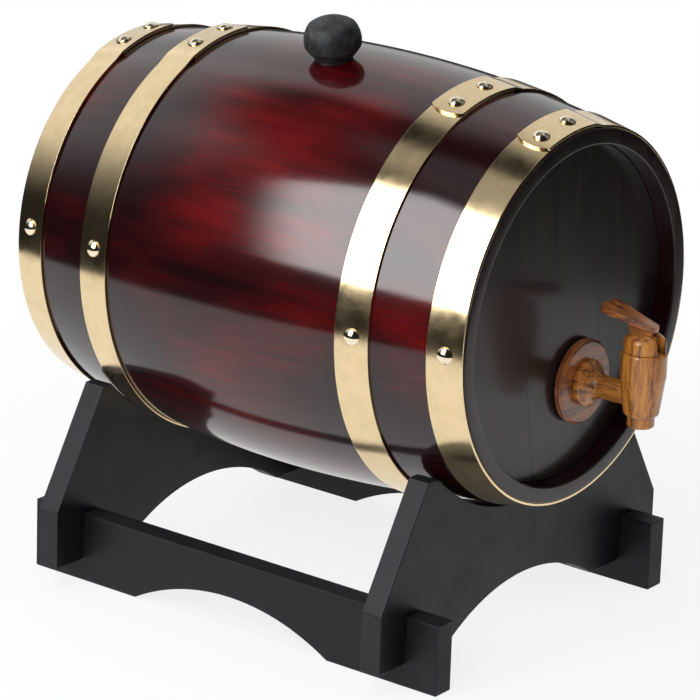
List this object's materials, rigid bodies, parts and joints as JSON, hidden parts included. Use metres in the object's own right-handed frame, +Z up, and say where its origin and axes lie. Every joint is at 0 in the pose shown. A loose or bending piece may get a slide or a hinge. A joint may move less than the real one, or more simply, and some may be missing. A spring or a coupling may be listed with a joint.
{
  "type": "cask liquor dispenser",
  "caption": "Small oak cask on a black cradle stand, with riveted brass hoops, a bung and a turned wooden tap whose cam lever lifts a valve to pour.",
  "frame": {"origin": "middle of the bounding box on the ground, under the stand", "axes": "+Z up, -Y towards the tap, +X to the right seen from the tap"},
  "size_m": [0.2352, 0.3198, 0.2992],
  "materials": {
    "stave_wood": "deep red gloss lacquer over oak",
    "head_wood": "dark brown satin-gloss lacquer",
    "hoop_brass": "polished sheet brass",
    "stud_brass": "polished domed heads",
    "bung_black": "turned wood, painted matt black",
    "tap_wood": "turned wood, clear varnish",
    "seal_rubber": "matt",
    "spring_steel": "drawn stainless wire",
    "stand_black": "satin black paint over board"
  },
  "bodies": {
    "stand": {"cradle_front": "stand_black", "cradle_rear": "stand_black", "rail_left": "stand_black", "rail_right": "stand_black"},
    "cask": {"stave_0": "stave_wood", "stave_1": "stave_wood", "stave_2": "stave_wood", "stave_3": "stave_wood", "stave_4": "stave_wood", "stave_5": "stave_wood", "stave_6": "stave_wood", "stave_7": "stave_wood", "stave_8": "stave_wood", "stave_9": "stave_wood", "stave_10": "stave_wood", "stave_11": "stave_wood", "stave_12": "stave_wood", "stave_13": "stave_wood", "stave_14": "stave_wood", "stave_15": "stave_wood", "stave_16": "stave_wood", "stave_17": "stave_wood", "front_board_0": "head_wood", "front_board_1": "head_wood", "front_board_2": "head_wood", "rear_board_0": "head_wood", "rear_board_1": "head_wood", "rear_board_2": "head_wood", "hoop_front_outer": "hoop_brass", "hoop_front_inner": "hoop_brass", "hoop_rear_inner": "hoop_brass", "hoop_rear_outer": "hoop_brass", "rivets_front_outer": "stud_brass", "rivets_front_inner": "stud_brass", "rivets_rear_inner": "stud_brass", "rivets_rear_outer": "stud_brass", "nails_front_outer": "stud_brass", "nails_front_inner": "stud_brass", "nails_rear_inner": "stud_brass", "nails_rear_outer": "stud_brass", "tap_gasket": "seal_rubber", "tap_rosette": "tap_wood", "tap_shank": "tap_wood", "tap_body": "tap_wood", "tap_bonnet": "tap_wood", "valve_spring": "spring_steel"},
    "bung": {"bung": "bung_black"},
    "valve": {"valve_stem": "tap_wood", "valve_seal": "seal_rubber", "lever_pin": "stud_brass"},
    "lever": {"lever": "tap_wood"}
  },
  "joints": [
    {"name": "cask_lift", "type": "slide", "parent": "stand", "child": "cask", "axis": [0, 0, 1], "range_m": [0, 0.06]},
    {"name": "bung_lift", "type": "slide", "parent": "cask", "child": "bung", "axis": [-0.1564, 0, 0.9877], "range_m": [0, 0.03]},
    {"name": "valve_lift", "type": "slide", "parent": "cask", "child": "valve", "axis": [0, 0, 1], "range_m": [0, 0.00301], "deforming": ["valve_spring"]},
    {"name": "lever_press", "type": "hinge", "parent": "valve", "child": "lever", "pos_m": [0.017, -0.15102, 0.16153], "axis": [-1, 0, 0], "range_deg": [0, 35], "stiffness_Nm_per_rad": 0.00603, "springref_deg": -46.67}
  ],
  "couplings": [
    {"joint": "valve_lift", "follows": "lever_press", "m_per_rad": 0.0049111}
  ]
}
